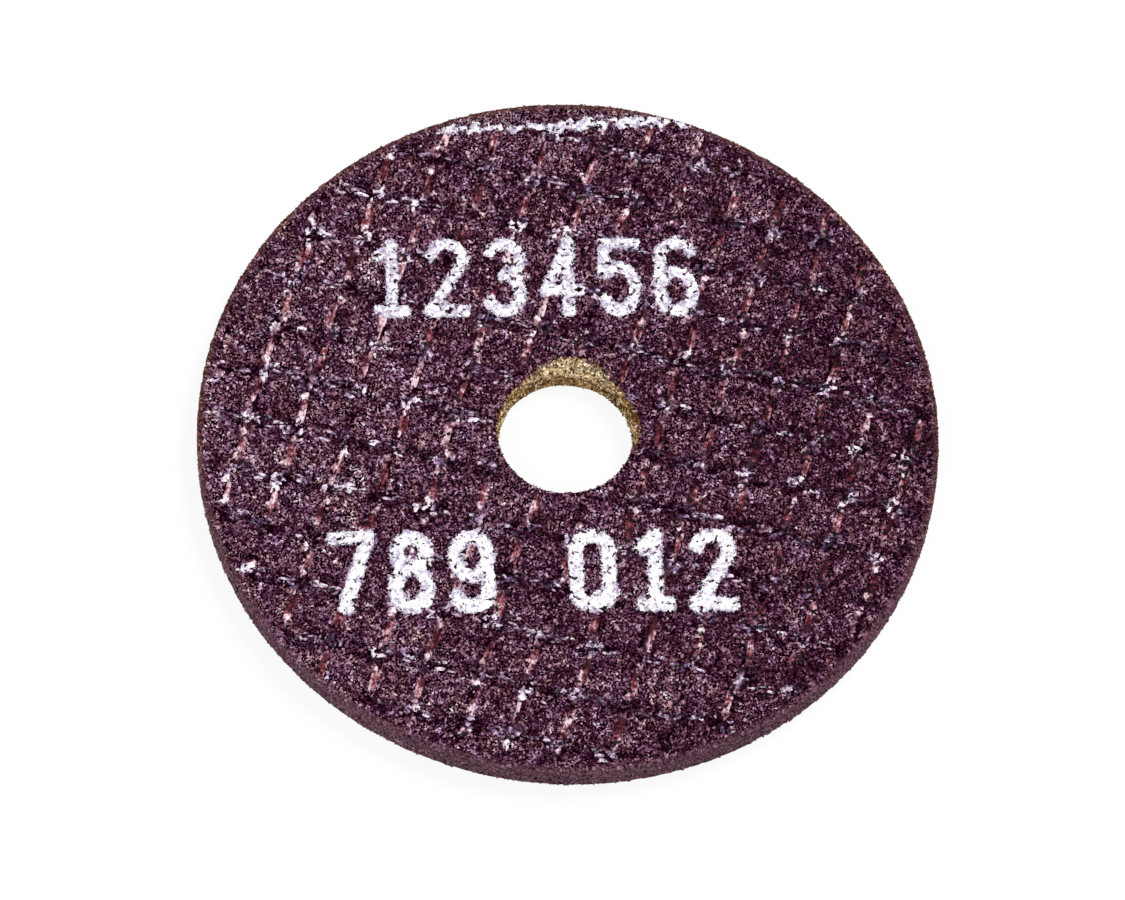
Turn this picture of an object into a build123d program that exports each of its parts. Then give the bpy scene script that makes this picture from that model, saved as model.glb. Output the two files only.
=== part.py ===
"""Small reinforced abrasive cutting wheel, pressed and cured as one piece.

Brown fused grain in a resin bond, with an open glass cloth pressed into each flat face.
The wheel lies on its back face: origin on the bore axis at that face, +Z up through the bore,
+X along the lines of print on the front face.
"""

from build123d import *
import math
import os

# The wheel, in millimetres
outside_diameter = 50.8
bore_diameter = 9.525
thickness = 2.4
rim_bevel = 0.16
bore_bevel = 0.1

# The glass cloth, the same weave on both faces; headings in degrees from +X
warp_pitch = 3.39
weft_pitch = 3.75
warp_heading = 72.8
weft_heading = -14.0
warp_offset = 0.88
weft_offset = -0.31
back_cloth_turn = 31.0
rim_margin = 0.7
bore_margin = 0.45

# The furrows that the cloth leaves in a face, and the yarns that lie in them
furrow_depth = 0.14
furrow_flare = 0.2
warp_furrow_width = 0.95
weft_furrow_width = 1.5
warp_yarn_width = 0.5
weft_yarn_width = 0.9
yarn_cover = 0.03
yarn_shoulder = 0.12
yarn_root = 0.06
yarn_gap = 0.14
shortest_run = 1.6

# Wear on the front face: a flat rubbed on its edge, and a bevel chipped from the bore's mouth
flat_bearing = 93.5
flat_reach = 2.1
flat_drop = 0.28
chip_bearing = 85.0
chip_reach = 1.1
chip_depth = 0.55
chip_half_span = 40.0

outer_radius = outside_diameter / 2
bore_radius = bore_diameter / 2
cloth_outer_radius = outer_radius - rim_margin
cloth_inner_radius = bore_radius + bore_margin
over_cut = 1.0


def wheel_blank():
    """The plain wheel: its half section, with broken corners, turned about the bore axis."""
    width = outer_radius - bore_radius
    section = Pos(bore_radius, 0) * Rectangle(width, thickness, align=(Align.MIN, Align.MIN))
    by_radius = section.vertices().sort_by(Axis.X)
    section = chamfer(by_radius[:2], bore_bevel)
    by_radius = section.vertices().sort_by(Axis.X)
    section = chamfer(by_radius[-2:], rim_bevel)
    return revolve(Plane.XZ * section, Axis.Z)


def line_offsets(pitch, offset):
    """Where one family of parallel yarns lies, measured across them from the bore axis."""
    first = math.ceil((-cloth_outer_radius - offset) / pitch)
    last = math.floor((cloth_outer_radius - offset) / pitch)
    return [offset + number * pitch for number in range(first, last + 1)]


def bar(section_points, heading, across, start, end):
    """A straight bar: a section of (across, height) points, swept from start to end."""
    section = Plane.YZ * make_face(Polyline(*section_points, close=True))
    return Rot(0, 0, heading) * Pos(start, across, 0) * extrude(section, end - start)


def furrow_section(width):
    """A furrow in the upper face: its walls lean out towards the mouth."""
    half_floor = width / 2 - furrow_flare
    half_top = width / 2 + furrow_flare * over_cut / furrow_depth
    return [
        (-half_floor, thickness - furrow_depth),
        (half_floor, thickness - furrow_depth),
        (half_top, thickness + over_cut),
        (-half_top, thickness + over_cut),
    ]


def yarn_section(width):
    """A flattened yarn, rooted under the furrow's floor and rounded off at its shoulders."""
    half_foot = width / 2
    half_top = half_foot - yarn_shoulder
    return [
        (-half_foot, thickness - furrow_depth - yarn_root),
        (half_foot, thickness - furrow_depth - yarn_root),
        (half_top, thickness - yarn_cover),
        (-half_top, thickness - yarn_cover),
    ]


def runs_in_cloth(across, width, start, end, clearance=0.0):
    """The stretches of a straight run that stay between the rim and the bore."""
    high = cloth_outer_radius - clearance
    low = cloth_inner_radius + clearance
    far_edge = abs(across) + width / 2
    near_edge = max(abs(across) - width / 2, 0)
    if far_edge >= high:
        return []
    reach = math.sqrt(high**2 - far_edge**2)
    first, last = max(start, -reach), min(end, reach)
    runs = [(first, last)]
    if near_edge < low:
        hole = math.sqrt(low**2 - near_edge**2)
        runs = [(first, min(last, -hole)), (max(first, hole), last)]
    return [(a, b) for a, b in runs if b - a > shortest_run]


def furrows(pitch, offset, heading, width):
    """The furrows of one family of yarns."""
    return [
        bar(furrow_section(width), heading, across, start, end)
        for across in line_offsets(pitch, offset)
        for start, end in runs_in_cloth(across, width, -outer_radius, outer_radius)
    ]


def warp_yarns():
    """The warp: each yarn runs unbroken across the face, over the weft."""
    return [
        bar(yarn_section(warp_yarn_width), warp_heading, across, start, end)
        for across in line_offsets(warp_pitch, warp_offset)
        for start, end in runs_in_cloth(across, warp_yarn_width, -outer_radius, outer_radius, yarn_gap)
    ]


def weft_yarns():
    """The weft: it shows as a short stretch between each two warp yarns, which cover the rest."""
    turn = math.radians(warp_heading - weft_heading)
    covered = (warp_yarn_width / 2 + yarn_gap) / math.sin(turn)
    covered += weft_yarn_width / 2 * abs(math.cos(turn)) / math.sin(turn)
    warps = line_offsets(warp_pitch, warp_offset)
    warps = [warps[0] - warp_pitch] + warps + [warps[-1] + warp_pitch]
    yarns = []
    for across in line_offsets(weft_pitch, weft_offset):
        crossings = sorted((across * math.cos(turn) - warp) / math.sin(turn) for warp in warps)
        for left, right in zip(crossings, crossings[1:]):
            shown = runs_in_cloth(across, weft_yarn_width, left + covered, right - covered, yarn_gap)
            for start, end in shown:
                yarns.append(bar(yarn_section(weft_yarn_width), weft_heading, across, start, end))
    return yarns


def press_cloth(wheel):
    """The wheel with a cloth pressed into its upper face."""
    wheel -= furrows(warp_pitch, warp_offset, warp_heading, warp_furrow_width)
    wheel -= furrows(weft_pitch, weft_offset, weft_heading, weft_furrow_width)
    wheel += warp_yarns() + weft_yarns()
    return wheel


def rubbed_flat():
    """What a rubbed edge takes off: all above a plane that falls away towards the rim."""
    slope = math.degrees(math.atan2(flat_drop, flat_reach))
    block = Box(2 * flat_reach, outside_diameter, over_cut, align=(Align.MIN, Align.CENTER, Align.MIN))
    return Rot(0, 0, flat_bearing) * Pos(outer_radius - flat_reach, 0, thickness) * Rot(0, slope, 0) * block


def chipped_mouth():
    """The bevel chipped from the bore's mouth: a cone that stands off the bore's axis."""
    far_edge = bore_radius + chip_reach
    inward = bore_radius * math.cos(math.radians(chip_half_span))
    off_axis = (far_edge**2 - bore_radius**2) / (2 * (far_edge - inward))
    mouth_radius = far_edge - off_axis
    slope = chip_depth / chip_reach
    height = mouth_radius * slope + over_cut
    cone = Cone(0, height / slope, height, align=(Align.CENTER, Align.CENTER, Align.MIN))
    return Rot(0, 0, chip_bearing) * Pos(off_axis, 0, thickness + over_cut - height) * cone


def abrasive_wheel():
    """The whole wheel: the blank, a cloth in each face, then the wear on the front."""
    turned_over = Pos(0, 0, thickness) * Rot(180, 0, 0) * Rot(0, 0, back_cloth_turn)
    back_done = turned_over.inverse() * press_cloth(wheel_blank())
    front_done = press_cloth(back_done)
    return front_done - rubbed_flat() - chipped_mouth()


os.makedirs("parts", exist_ok=True)
export_step(abrasive_wheel(), "parts/abrasive_wheel.step")
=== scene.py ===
# %% [markdown]
# # A worn cut-off wheel, grain by grain
# The object is a small abrasive wheel that was pressed in a mould: brown fused grain, a resin that
# glues it together, and an open glass cloth in each face. One solid stands for it in the frame.
# Its look from close by comes from thousands of grains, so most of this lesson is about making
# those cheaply, and about fading them into the shapes that the frame already has.

# %% Load the frame
import bmesh
import bpy
import math
import numpy as np
from mathutils import Matrix, Vector


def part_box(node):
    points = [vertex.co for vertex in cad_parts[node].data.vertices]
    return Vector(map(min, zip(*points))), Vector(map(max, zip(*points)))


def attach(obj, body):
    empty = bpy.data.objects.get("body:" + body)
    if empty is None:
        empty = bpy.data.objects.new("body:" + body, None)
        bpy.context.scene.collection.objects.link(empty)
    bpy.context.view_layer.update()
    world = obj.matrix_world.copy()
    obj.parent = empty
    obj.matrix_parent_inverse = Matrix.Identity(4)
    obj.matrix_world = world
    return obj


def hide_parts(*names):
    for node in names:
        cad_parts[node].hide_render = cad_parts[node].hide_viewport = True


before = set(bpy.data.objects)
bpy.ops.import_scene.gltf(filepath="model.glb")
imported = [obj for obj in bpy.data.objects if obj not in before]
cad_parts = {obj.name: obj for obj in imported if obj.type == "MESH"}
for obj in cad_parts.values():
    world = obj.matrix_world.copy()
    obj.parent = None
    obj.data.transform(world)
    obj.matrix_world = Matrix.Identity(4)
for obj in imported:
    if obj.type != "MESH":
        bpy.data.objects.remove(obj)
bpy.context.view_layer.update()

# %% [markdown]
# The wheel's own sizes come from its box in the frame. The bore and the cloth can't be read from
# a box, so they are written here once, in millimetres, with the values that the frame's wheel has.

# %% The wheel's sizes
MM = 0.001
low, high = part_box("abrasive_wheel")
rim_radius = min(-low[0], -low[1], high[0], high[1])
thickness = high[2] - low[2]
bore_radius = 4.7625 * MM
rim_bevel = 0.16 * MM
bore_bevel = 0.1 * MM
print("rim radius %.2f mm, thickness %.2f mm" % (rim_radius / MM, thickness / MM))

# %% [markdown]
# The cloth is an open weave. Its warp yarns all run one way and its weft yarns run across them,
# each family at its own pitch. A heading is an angle from +X. A yarn's offset is how far it lies
# to the left of the bore axis for someone looking along the heading. Where a yarn was pressed in,
# the face sinks into a furrow, whose walls lean out over the flare.

# %% The cloth's sizes
warp_pitch, weft_pitch = 3.39 * MM, 3.75 * MM
warp_offset, weft_offset = 0.88 * MM, -0.31 * MM
warp_heading, weft_heading = math.radians(72.8), math.radians(-14.0)
back_cloth_turn = math.radians(31.0)
warp_furrow_width, weft_furrow_width = 0.95 * MM, 1.5 * MM
furrow_depth, furrow_flare = 0.14 * MM, 0.2 * MM
cloth_rim, cloth_bore = rim_radius - 0.7 * MM, bore_radius + 0.45 * MM
print("yarns cross at %.1f degrees" % math.degrees(warp_heading - weft_heading))

# %% [markdown]
# The front is worn in two places, as the frame's wheel is: a flat rubbed on the far edge, and a
# bevel chipped out of the bore's mouth. The bevel is a cone that stands a little off the bore's
# axis. The flat falls less here than in the frame, because the real one's far edge stands higher.
# The skin that is made below takes the frame's solid's place, so the two don't have to meet there.

# %% The wear's sizes
flat_bearing = math.radians(93.5)
flat_reach, flat_drop = 2.1 * MM, 0.12 * MM
chip_bearing = math.radians(85.0)
chip_reach, chip_depth = 1.1 * MM, 0.55 * MM
chip_half_span = math.radians(40.0)
chip_edge = bore_radius + chip_reach
chip_inward = bore_radius * math.cos(chip_half_span)
chip_off_axis = (chip_edge**2 - bore_radius**2) / (2 * (chip_edge - chip_inward))
chip_mouth_radius = chip_edge - chip_off_axis
print("the chip's cone stands %.2f mm off the axis" % (chip_off_axis / MM))

# %% [markdown]
# ## The camera and the light
# The camera stands where the photographer stood, looking down at 64 degrees. Its place follows
# from how round the wheel looks, and its roll and shift from how the wheel sits in the picture.
# A small shift frames the wheel without turning the camera away from it.


# %% Camera
def in_scene(name, data):
    """A new object in the scene."""
    item = bpy.data.objects.new(name, data)
    bpy.context.scene.collection.objects.link(item)
    return item


PICTURE = (1125, 900)
azimuth, elevation, roll = math.radians(-5.4), math.radians(64.154), math.radians(4.459)
distance = 628.9 * MM
focal_pixels = 9201.4
aim_pixel = (568.5, 431.5)

back = Vector((
    math.sin(azimuth) * math.cos(elevation),
    -math.cos(azimuth) * math.cos(elevation),
    math.sin(elevation),
))
level = Vector((math.cos(azimuth), math.sin(azimuth), 0))
upright = back.cross(level)
right = level * math.cos(roll) + upright * math.sin(roll)
up = upright * math.cos(roll) - level * math.sin(roll)

lens = bpy.data.cameras.new("camera")
lens.sensor_width = 36
lens.lens = focal_pixels * lens.sensor_width / PICTURE[0]
lens.shift_x = (PICTURE[0] / 2 - aim_pixel[0]) / PICTURE[0]
lens.shift_y = (aim_pixel[1] - PICTURE[1] / 2) / PICTURE[0]
lens.clip_start, lens.clip_end = 0.01, 10
camera = in_scene("camera", lens)
stand = Matrix.Translation(distance * back + Vector((0, 0, thickness)))
camera.matrix_world = stand @ Matrix((right, up, back)).transposed().to_4x4()
bpy.context.scene.camera = camera
print("lens %.1f mm, shift %.4f %.4f" % (lens.lens, lens.shift_x, lens.shift_y))

# %% [markdown]
# The photograph is bright and soft. Two broad lamps and an even world give that light at a plain
# level, so a colour renders about as it is written. The lamp beyond the wheel, on the right, is the
# smaller one: it picks out single grains, and it throws the thin shadow at the lower left.

# %% World and lamps
WHITE = (1, 1, 1, 1)
ROOM_LIGHT = 0.42

world = bpy.data.worlds.new("soft room")
world.use_nodes = True
room = world.node_tree.nodes["Background"]
room.inputs["Color"].default_value = WHITE
room.inputs["Strength"].default_value = ROOM_LIGHT
bpy.context.scene.world = world
bpy.context.scene.view_settings.view_transform = "Standard"


def lamp(name, place, size, power):
    """A square lamp that faces the wheel."""
    light = bpy.data.lights.new(name, "AREA")
    light.size = size
    light.energy = power
    holder = in_scene(name, light)
    holder.location = place
    holder.rotation_euler = (-Vector(place)).to_track_quat("-Z", "Y").to_euler()
    print("%s: %.2f m wide, %.2f W" % (name, size, power))


lamp("far lamp", (0.25, 0.21, 0.5), 0.25, 3.0)
lamp("near lamp", (-0.34, -0.46, 0.5), 0.5, 1.75)

# %% [markdown]
# ## Nodes written as sums
# Shader and geometry nodes are easier to read as sums than as a web. A `Wire` is a node's output
# that can be added, multiplied or compared as a number is, and each sum adds one Math node.


# %% Wires
def sum_of(operation, swapped=False):
    """A method that joins a wire with a number or another wire through one Math node."""
    def join(self, other):
        pair = (other, self) if swapped else (self, other)
        return self.maths(operation, *pair)
    return join


class Wire:
    """The output of a node, used in sums as a number is."""

    def __init__(self, board, socket):
        self.board = board
        self.socket = socket

    def maths(self, operation, *values):
        """What one Math node makes of the values."""
        return self.board.put("ShaderNodeMath", {"operation": operation}, dict(enumerate(values)))[0]

    def least(self, other):
        return self.maths("MINIMUM", self, other)

    def most(self, other):
        return self.maths("MAXIMUM", self, other)

    def whole(self):
        return self.maths("FLOOR", self)

    def ramp(self, start, end):
        """0 at start and 1 at end, with a smooth way between them."""
        limits = {"Value": self, "From Min": start, "From Max": end}
        return self.board.put("ShaderNodeMapRange", {"interpolation_type": "SMOOTHSTEP"}, limits)[0]

    __add__ = __radd__ = sum_of("ADD")
    __sub__ = sum_of("SUBTRACT")
    __rsub__ = sum_of("SUBTRACT", swapped=True)
    __mul__ = __rmul__ = sum_of("MULTIPLY")
    __truediv__ = sum_of("DIVIDE")
    __rtruediv__ = sum_of("DIVIDE", swapped=True)
    __pow__ = sum_of("POWER")


class Placed:
    """A node on a board; its outputs are found by name or number."""

    def __init__(self, board, node):
        self.board = board
        self.node = node

    def __getitem__(self, name):
        return Wire(self.board, self.node.outputs[name])


# %% [markdown]
# A `Board` is a node tree. Its method `put` puts any other node on it, and the methods below that
# one are short names for the few nodes that come again and again.


# %% Boards
class Board:
    """A node tree that nodes are put on one by one."""

    def __init__(self, tree):
        self.tree = tree

    def put(self, kind, settings=None, inputs=None):
        """Puts a node on the board: its settings first, then the values or wires of its sockets."""
        node = self.tree.nodes.new(kind)
        for name, value in (settings or {}).items():
            if name == "stops":
                set_stops(node.color_ramp, value)
            else:
                setattr(node, name, value)
        for name, value in (inputs or {}).items():
            if isinstance(value, Wire):
                self.tree.links.new(value.socket, node.inputs[name])
            else:
                node.inputs[name].default_value = value
        return Placed(self, node)

    def blend(self, factor, under, over, mode="MIX"):
        """One colour laid over another."""
        settings = {"data_type": "RGBA", "blend_type": mode}
        return self.put("ShaderNodeMix", settings, {0: factor, 6: under, 7: over})[2]

    def tint(self, factor, colour, shift):
        """A colour multiplied by another, to shift it."""
        return self.blend(factor, colour, shift, "MULTIPLY")

    def colours(self, stops, place):
        """The colour at a place along the stops of a ramp."""
        return self.put("ShaderNodeValToRGB", {"stops": stops}, {0: place})[0]

    def attribute(self, name):
        """A value that the mesh carries."""
        return self.put("ShaderNodeAttribute", {"attribute_name": name})["Fac"]

    def object_place(self):
        """Where each point lies in the wheel's own frame."""
        return self.put("ShaderNodeTexCoord")["Object"]

    def noise(self, where, scale, detail):
        """Soft noise about a half, with features about 1/scale of a metre across."""
        inputs = {"Vector": where, "Scale": scale, "Detail": detail}
        return self.put("ShaderNodeTexNoise", {}, inputs)[0]


def set_stops(ramp, stops):
    """Gives a colour ramp its stops, from a list of (place, colour)."""
    while len(ramp.elements) < len(stops):
        ramp.elements.new(1.0)
    for element, (place, colour) in zip(ramp.elements, stops):
        element.position = place
        element.color = colour


def new_material(name):
    """A material and its board."""
    material = bpy.data.materials.new(name)
    material.use_nodes = True
    return material, Board(material.node_tree)


# %% [markdown]
# ## The floor
# The wheel lies on a white sheet that fills the picture. A lamp can't light a sheet to pure white
# without burning out the wheel's own pale spots, so rays that come straight from the camera see a
# mix of the lit sheet and plain white. The lit part keeps the soft shadow under the edge.


# %% Floor
SHEET_COLOUR = (0.9, 0.9, 0.9, 1)
PLAIN_SHARE = 0.9
FLOOR_REACH = 1.5


def sheet_material():
    """A lit sheet that the camera sees as nearly plain white."""
    material, board = new_material("white sheet")
    board.tree.nodes.clear()
    lit = board.put("ShaderNodeBsdfDiffuse", {}, {"Color": SHEET_COLOUR})["BSDF"]
    glow = board.put("ShaderNodeEmission", {}, {"Color": WHITE, "Strength": 1.0})["Emission"]
    path = board.put("ShaderNodeLightPath")
    seen = path["Is Camera Ray"].most(path["Is Glossy Ray"]).most(path["Is Transmission Ray"])
    mixed = board.put("ShaderNodeMixShader", {}, {0: seen * PLAIN_SHARE, 1: lit, 2: glow})["Shader"]
    board.put("ShaderNodeOutputMaterial", {}, {"Surface": mixed})
    return material


def plain_mesh(name, points, faces):
    """A mesh object whose place is in its mesh."""
    mesh = bpy.data.meshes.new(name)
    mesh.from_pydata(points, [], faces)
    mesh.update()
    return in_scene(name, mesh)


floor_corners = [(x * FLOOR_REACH, y * FLOOR_REACH, 0) for x, y in ((-1, -1), (1, -1), (1, 1), (-1, 1))]
floor = plain_mesh("floor", floor_corners, [(0, 1, 2, 3)])
floor.data.materials.append(sheet_material())

# %% [markdown]
# ## Patches
# Nothing on a pressed wheel is even. A patch pattern is random values on a grid of squares with
# smooth steps between them. It is seeded, so the wheel is the same each time the lesson runs.


# %% Patch pattern
SQUARES = 256


def eased(share):
    """A share from 0 to 1 that starts and ends softly."""
    return share**2 * (3 - 2 * share)


def patches(x, y, cell, seed):
    """A smooth random pattern from 0 to 1, with patches about one cell across."""
    lattice = np.random.default_rng(seed).random((SQUARES + 1, SQUARES + 1))
    column, across = np.divmod(x / cell, 1)
    row, along = np.divmod(y / cell, 1)
    column, row = column.astype(int) % SQUARES, row.astype(int) % SQUARES
    across, along = eased(across), eased(along)
    lower = lattice[row, column] * (1 - across) + lattice[row, column + 1] * across
    upper = lattice[row + 1, column] * (1 - across) + lattice[row + 1, column + 1] * across
    return lower * (1 - along) + upper * along


# %% [markdown]
# ## Where the cloth lies
# Every later step asks the same question: how far is this point from the nearest warp yarn, and
# how far from the nearest weft yarn? The back's cloth is the same one, turned over and round, so
# a point on the back is first brought into the cloth's own view.


# %% Distances in the cloth
def in_cloth(x, y, on_back):
    """The point as the cloth's own face has it."""
    cosine, sine = math.cos(back_cloth_turn), math.sin(back_cloth_turn)
    turned = (x * cosine - y * sine, -(x * sine + y * cosine))
    return np.where(on_back, turned[0], x), np.where(on_back, turned[1], y)


def from_yarn(x, y, heading, offset, pitch):
    """The distance to the nearest yarn's middle line, positive on its left."""
    across = y * math.cos(heading) - x * math.sin(heading)
    return (across - offset + pitch / 2) % pitch - pitch / 2


def trench(distance, width):
    """1 on a furrow's floor, 0 beside it, and a slope for its walls."""
    return np.clip((width / 2 - np.abs(distance)) / furrow_flare, 0, 1)


def cloth_zone(radius):
    """1 where there is cloth, 0 near the rim and the bore."""
    soft_edge = 0.12 * MM
    inside = np.clip((cloth_rim - radius) / soft_edge, 0, 1)
    return inside * np.clip((radius - cloth_bore) / soft_edge, 0, 1)


# %% [markdown]
# ## The print
# White ink was stamped on the front in two rows of plain figures. Each figure is drawn as the path
# of a broad pen: straight runs and arcs in a box 2.2 mm wide and 5.1 mm tall. An image of the print
# would blur from close by, so what the mesh keeps is a number instead: how deep each point lies
# inside the ink, in millimetres. The shader can then cut the ink's worn edge at any depth.


# %% Figures as pen paths
WIDE, TALL = 2.2, 5.1
ARC_POINTS = 14


def arc(middle_y, radius_x, radius_y, start, end):
    """Points along an arc about the box's middle line, from start to end in degrees."""
    angles = np.radians(np.linspace(start, end, ARC_POINTS))
    return [(WIDE / 2 + radius_x * math.cos(a), middle_y + radius_y * math.sin(a)) for a in angles]


def figure_paths():
    """The pen's paths for each figure, from the lower left corner of its box."""
    half, head = WIDE / 2, TALL - WIDE / 2
    six = arc(head, half, half, 25, 180) + arc(1.45, half, 1.45, 180, 540)
    return {
        "0": [arc(head, half, half, 0, 180) + arc(half, half, half, 180, 360) + [(WIDE, head)]],
        "1": [
            [(half - 0.75, TALL - 0.9), (half + 0.15, TALL), (half + 0.15, 0)],
            [(half - 0.6, 0), (half + 0.9, 0)],
        ],
        "2": [arc(head, half, half, 165, -30) + [(0, 0), (WIDE, 0)]],
        "3": [
            arc(TALL * 0.76, half, TALL * 0.24, 150, -90),
            arc(TALL * 0.26, half, TALL * 0.26, 90, -150),
        ],
        "4": [[(WIDE * 0.72, 0), (WIDE * 0.72, TALL), (0, TALL * 0.3), (WIDE + 0.1, TALL * 0.3)]],
        "5": [
            [(WIDE, TALL), (0.1, TALL), (0.05, TALL * 0.56)]
            + arc(TALL * 0.32, half, TALL * 0.32, 130, -150)
        ],
        "6": [six],
        "7": [[(0, TALL), (WIDE, TALL), (WIDE * 0.35, 0)]],
        "8": [
            arc(TALL * 0.77, half * 0.88, TALL * 0.23, 0, 360),
            arc(TALL * 0.27, half, TALL * 0.27, 0, 360),
        ],
        "9": [[(WIDE - x, TALL - y) for x, y in six]],
    }


# %% [markdown]
# The depth is the pen's half width less the distance to the pen's path. Feet of strokes are
# broader than the rest, because wet ink ran there, so the pen is widened a little near them.


# %% Depth of the ink
NO_INK = -3.0
FOOT_HEIGHT, FOOT_SPREAD = 0.9, 0.08

# Each row: its figures, the pen's half width, the middle of the first figure, the step to the
# next, and the foot line, in millimetres
PRINT_ROWS = (("123456", 0.48, -12.05, 3.95, 9.35), ("789 012", 0.57, -15.0, 4.1, -12.95))


def run_distance(x, y, start, end):
    """How far each point is from a straight run, by a measure that gives the run squared ends."""
    length = math.hypot(end[0] - start[0], end[1] - start[1])
    step_x, step_y = (end[0] - start[0]) / length, (end[1] - start[1]) / length
    along = (x - start[0]) * step_x + (y - start[1]) * step_y
    aside = (y - start[1]) * step_x - (x - start[0]) * step_y
    beyond = np.maximum(np.maximum(-along, along - length), 0)
    return (aside**4 + beyond**4) ** 0.25


def ink_depth(x, y):
    """How deep each point of the front lies in the ink, in millimetres; negative outside it."""
    x, y = x / MM, y / MM
    depth = np.full(x.shape, NO_INK)
    paths = figure_paths()
    for figures, half_pen, first, step, foot in PRINT_ROWS:
        for number, figure in enumerate(figures):
            if figure == " ":
                continue
            left = first + number * step - WIDE / 2
            near = (abs(x - left - WIDE / 2) < step) & (abs(y - foot - TALL / 2) < TALL)
            local_x, local_y = x[near] - left, y[near] - foot
            pen = half_pen + FOOT_SPREAD * np.clip(1 - local_y / FOOT_HEIGHT, 0, 1)
            for path in paths[figure]:
                for start, end in zip(path, path[1:]):
                    inside = pen - run_distance(local_x, local_y, start, end)
                    depth[near] = np.maximum(depth[near], inside)
    return depth


# %% [markdown]
# A thin white line is left along the inner edge of the rubbed flat, where the wheel scraped against
# something. Its edges are ragged and its width rises and falls, so two patch patterns are added to
# its depth: a fine one for the edges and a broader one for the width.


# %% Scraped line
SCRAPE = ((-7.9, 23.4), (9.8, 24.0))
SCRAPE_HALF_WIDTH, SCRAPE_WIDENING = 0.38, 0.01


def scrape_depth(x, y):
    """How deep each point lies in the scraped line, in millimetres."""
    half_width = SCRAPE_HALF_WIDTH + SCRAPE_WIDENING * x / MM
    inside = half_width - run_distance(x / MM, y / MM, *SCRAPE)
    ragged = patches(x, y, 0.35 * MM, 31) - 0.5
    swelling = patches(x, y, 1.6 * MM, 32) - 0.5
    return inside + 0.8 * ragged + 0.4 * swelling


# %% [markdown]
# ## One skin for the whole wheel
# The skin is a turned shape: the wheel's half section, cut into stations, with a ring of points at
# each. A ring gets as many points as its own length asks for, so the net is even from bore to rim,
# which a plain lathe shape is not. Neighbouring rings are then zipped together with triangles.


# %% Stations along the half section
ROW_STEP = 0.866


def stations():
    """Places along the section, as (radius, height, spacing of points)."""
    inner, outer = bore_radius + bore_bevel, rim_radius - rim_bevel
    # The section's corners, each with the spacing on the stretch after it, in millimetres. Rows of
    # even triangles lie nearer to each other than the points in them, by the row step.
    corners = [
        (inner, 0, 0.34), (outer, 0, 0.3), (rim_radius, rim_bevel, 0.3),
        (rim_radius, thickness - rim_bevel, 0.22), (outer, thickness, 0.19), (inner, thickness, 0.19),
        (bore_radius, thickness - bore_bevel, 0.22), (bore_radius, bore_bevel, 0.22),
    ]
    places = []
    for (r, z, spacing), (next_r, next_z, _) in zip(corners, corners[1:] + corners[:1]):
        length = math.hypot(next_r - r, next_z - z)
        count = max(1, round(length / (spacing * MM * ROW_STEP)))
        for step in range(count):
            share = step / count
            places.append((r + (next_r - r) * share, z + (next_z - z) * share, spacing * MM))
    return places


# %% [markdown]
# Zipping walks round two rings at once and always steps on the ring whose next point comes first.


# %% Rings and the zip between them
def zip_rings(first, count, next_first, next_count, shift, next_shift):
    """Triangles between two rings, which may differ in their number of points."""
    triangles = []
    here = there = 0
    while here < count or there < next_count:
        a, b = first + here % count, next_first + there % next_count
        here_is_first = (here + shift) * next_count <= (there + next_shift) * count
        if there >= next_count or (here < count and here_is_first):
            triangles.append((a, first + (here + 1) % count, b))
            here += 1
        else:
            triangles.append((a, next_first + (there + 1) % next_count, b))
            there += 1
    return triangles


def turned_net(places):
    """Points and triangles of the closed, turned net."""
    counts = [max(12, round(2 * math.pi * r / spacing)) for r, z, spacing in places]
    firsts = np.concatenate([[0], np.cumsum(counts)[:-1]]).tolist()
    points = []
    triangles = []
    for number, ((r, z, _), count) in enumerate(zip(places, counts)):
        angles = 2 * math.pi * (np.arange(count) + 0.5 * (number % 2)) / count
        points.append(np.column_stack([r * np.cos(angles), r * np.sin(angles), np.full(count, z)]))
        after = (number + 1) % len(places)
        shifts = (0.5 * (number % 2), 0.5 * (after % 2))
        triangles += zip_rings(firsts[number], count, firsts[after], counts[after], *shifts)
    return np.concatenate(points), np.array(triangles)


points, triangles = turned_net(stations())
print("skin: %d points, %d triangles" % (len(points), len(triangles)))

# %% [markdown]
# ## Pressing the skin into shape
# The skin starts as smooth as the frame's blank. It is lowered to the resin bed that the grains
# stand in, sunk along the furrows of the cloth, and roughened. The bed is lower than the frame's
# faces by a little under half a grain, so that the grains' tops reach them. The rim stays a little
# inside its true size. In the bore, lobes of grit and resin stand in, most of all on the right.

# %% Form of the skin
bed_depth, bed_rough = 0.11 * MM, 0.05 * MM
open_furrow = 0.3
hair = 1e-7

x, y, z = points.T
radius = np.hypot(x, y)
bearing = np.arctan2(y, x)
on_front = (z > thickness - hair) & (radius > bore_radius + bore_bevel / 2)
on_back = (z < hair) & (radius > bore_radius + bore_bevel / 2)
on_rim = (radius > rim_radius - rim_bevel / 2) & ~on_front & ~on_back
on_bore = ~(on_front | on_back | on_rim)

cloth_x, cloth_y = in_cloth(x, y, on_back)
from_warp = from_yarn(cloth_x, cloth_y, warp_heading, warp_offset, warp_pitch)
from_weft = from_yarn(cloth_x, cloth_y, weft_heading, weft_offset, weft_pitch)
furrow = np.maximum(trench(from_warp, warp_furrow_width), trench(from_weft, weft_furrow_width))
furrow *= cloth_zone(radius) * (on_front | on_back)
rough = patches(x, y, 0.3 * MM, 1) + 0.6 * patches(x, y, 1.1 * MM, 2) - 0.8
rough_wall = patches(bearing * radius, z, 0.3 * MM, 3) - 0.5

# Grit fills most of each furrow again, and leaves only the open share of its depth
sunk = bed_depth + open_furrow * furrow_depth * furrow + bed_rough * rough
z = np.where(on_front, z - np.maximum(sunk, 0), z)
z = np.where(on_back, np.maximum(sunk, 0), z)

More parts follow.
